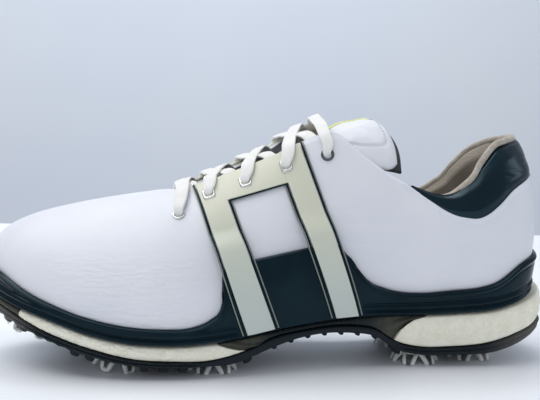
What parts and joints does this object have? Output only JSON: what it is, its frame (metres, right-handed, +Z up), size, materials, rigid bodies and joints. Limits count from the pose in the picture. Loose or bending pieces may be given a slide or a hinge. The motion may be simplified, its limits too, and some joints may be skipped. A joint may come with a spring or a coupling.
{
  "type": "golf shoe",
  "caption": "Low laced golf shoe with a smooth leather upper, moulded TPU frame, pellet-foam midsole and twist-in soft cleats.",
  "frame": {"origin": "middle of the shoe's outline on the ground plane that the cleats stand on", "axes": "+X from toe to heel, +Y towards the inner (medial) side, +Z up; left shoe"},
  "size_m": [0.3079, 0.1043, 0.1352],
  "materials": {
    "white_leather": "smooth, fine grain, slight sheen",
    "black_leather": "padded, smooth, fine creases",
    "lining": "matte taupe mesh and binding",
    "black_frame": "glossy moulded TPU",
    "smoked_bridge": "smoked translucent TPU",
    "foam": "moulded pellet foam",
    "outsole": "satin moulded TPU",
    "strap": "cream satin TPU film",
    "board": "fibre board",
    "sockliner": "textile top on foam",
    "tongue": "black textile",
    "lace": "flat woven polyester",
    "eyelet": "silver, worn",
    "receptacle": "moulded nylon",
    "cleat": "frosted TPU"
  },
  "bodies": {
    "shoe": {"collar_panel": "black_leather", "collar_piping": "lining", "eyelet_lateral_1": "eyelet", "eyelet_lateral_2": "eyelet", "eyelet_lateral_3": "eyelet", "eyelet_lateral_4": "eyelet", "eyelet_lateral_5": "eyelet", "eyelet_medial_1": "eyelet", "eyelet_medial_2": "eyelet", "eyelet_medial_3": "eyelet", "eyelet_medial_4": "eyelet", "eyelet_medial_5": "eyelet", "forefoot_midsole": "foam", "heel_counter": "board", "heel_midsole": "foam", "insole_board": "board", "lace_1_to_lateral": "lace", "lace_1_to_medial": "lace", "lace_2_to_lateral": "lace", "lace_2_to_medial": "lace", "lace_3_to_lateral": "lace", "lace_3_to_medial": "lace", "lace_4_to_lateral": "lace", "lace_4_to_medial": "lace", "lace_bar": "lace", "lace_top_bar": "lace", "lining": "lining", "midfoot_bridge": "smoked_bridge", "outsole": "outsole", "quarter_lateral": "white_leather", "quarter_medial": "white_leather", "receptacle_ball_centre": "receptacle", "receptacle_ball_lateral_front": "receptacle", "receptacle_ball_lateral_rear": "receptacle", "receptacle_ball_medial_front": "receptacle", "receptacle_ball_medial_mid": "receptacle", "receptacle_ball_medial_rear": "receptacle", "receptacle_heel_lateral": "receptacle", "receptacle_heel_medial": "receptacle", "receptacle_heel_rear": "receptacle", "receptacle_toe": "receptacle", "saddle_strap_lateral": "strap", "saddle_strap_medial": "strap", "sockliner": "sockliner", "toe_puff": "board", "tongue": "tongue", "tpu_frame": "black_frame", "vamp": "white_leather"},
    "tongue_tab": {"tongue_tab": "white_leather"},
    "cleat_toe": {"cleat_toe": "cleat"},
    "cleat_ball_lateral_front": {"cleat_ball_lateral_front": "cleat"},
    "cleat_ball_lateral_rear": {"cleat_ball_lateral_rear": "cleat"},
    "cleat_ball_medial_front": {"cleat_ball_medial_front": "cleat"},
    "cleat_ball_medial_mid": {"cleat_ball_medial_mid": "cleat"},
    "cleat_ball_medial_rear": {"cleat_ball_medial_rear": "cleat"},
    "cleat_ball_centre": {"cleat_ball_centre": "cleat"},
    "cleat_heel_lateral": {"cleat_heel_lateral": "cleat"},
    "cleat_heel_medial": {"cleat_heel_medial": "cleat"},
    "cleat_heel_rear": {"cleat_heel_rear": "cleat"}
  },
  "joints": [
    {"name": "tongue_lift", "type": "hinge", "parent": "shoe", "child": "tongue_tab", "pos_m": [0.02864, 0.00274, 0.115], "axis": [0, -1, 0], "range_deg": [-4, 40]},
    {"name": "twist_toe", "type": "hinge", "parent": "shoe", "child": "cleat_toe", "pos_m": [-0.12736, 0.00274, 0.02222], "axis": [0.3475, 0, 0.9377], "range_deg": [0, 60]},
    {"name": "twist_ball_lateral_front", "type": "hinge", "parent": "shoe", "child": "cleat_ball_lateral_front", "pos_m": [-0.08136, -0.02426, 0.00898], "axis": [0.1696, 0, 0.9855], "range_deg": [0, 60]},
    {"name": "twist_ball_lateral_rear", "type": "hinge", "parent": "shoe", "child": "cleat_ball_lateral_rear", "pos_m": [-0.03336, -0.02826, 0.0066], "axis": [0, 0, 1], "range_deg": [0, 60]},
    {"name": "twist_ball_medial_front", "type": "hinge", "parent": "shoe", "child": "cleat_ball_medial_front", "pos_m": [-0.09936, 0.03274, 0.01309], "axis": [0.2609, 0, 0.9654], "range_deg": [0, 60]},
    {"name": "twist_ball_medial_mid", "type": "hinge", "parent": "shoe", "child": "cleat_ball_medial_mid", "pos_m": [-0.06336, 0.03274, 0.0066], "axis": [0, 0, 1], "range_deg": [0, 60]},
    {"name": "twist_ball_medial_rear", "type": "hinge", "parent": "shoe", "child": "cleat_ball_medial_rear", "pos_m": [-0.02936, 0.02874, 0.0066], "axis": [0, 0, 1], "range_deg": [0, 60]},
    {"name": "twist_ball_centre", "type": "hinge", "parent": "shoe", "child": "cleat_ball_centre", "pos_m": [-0.05636, 0.00274, 0.0066], "axis": [0, 0, 1], "range_deg": [0, 60]},
    {"name": "twist_heel_lateral", "type": "hinge", "parent": "shoe", "child": "cleat_heel_lateral", "pos_m": [0.07864, -0.01626, 0.0066], "axis": [0, 0, 1], "range_deg": [0, 60]},
    {"name": "twist_heel_medial", "type": "hinge", "parent": "shoe", "child": "cleat_heel_medial", "pos_m": [0.07764, 0.02024, 0.0066], "axis": [0, 0, 1], "range_deg": [0, 60]},
    {"name": "twist_heel_rear", "type": "hinge", "parent": "shoe", "child": "cleat_heel_rear", "pos_m": [0.11164, -0.00926, 0.0066], "axis": [0, 0, 1], "range_deg": [0, 60]}
  ]
}
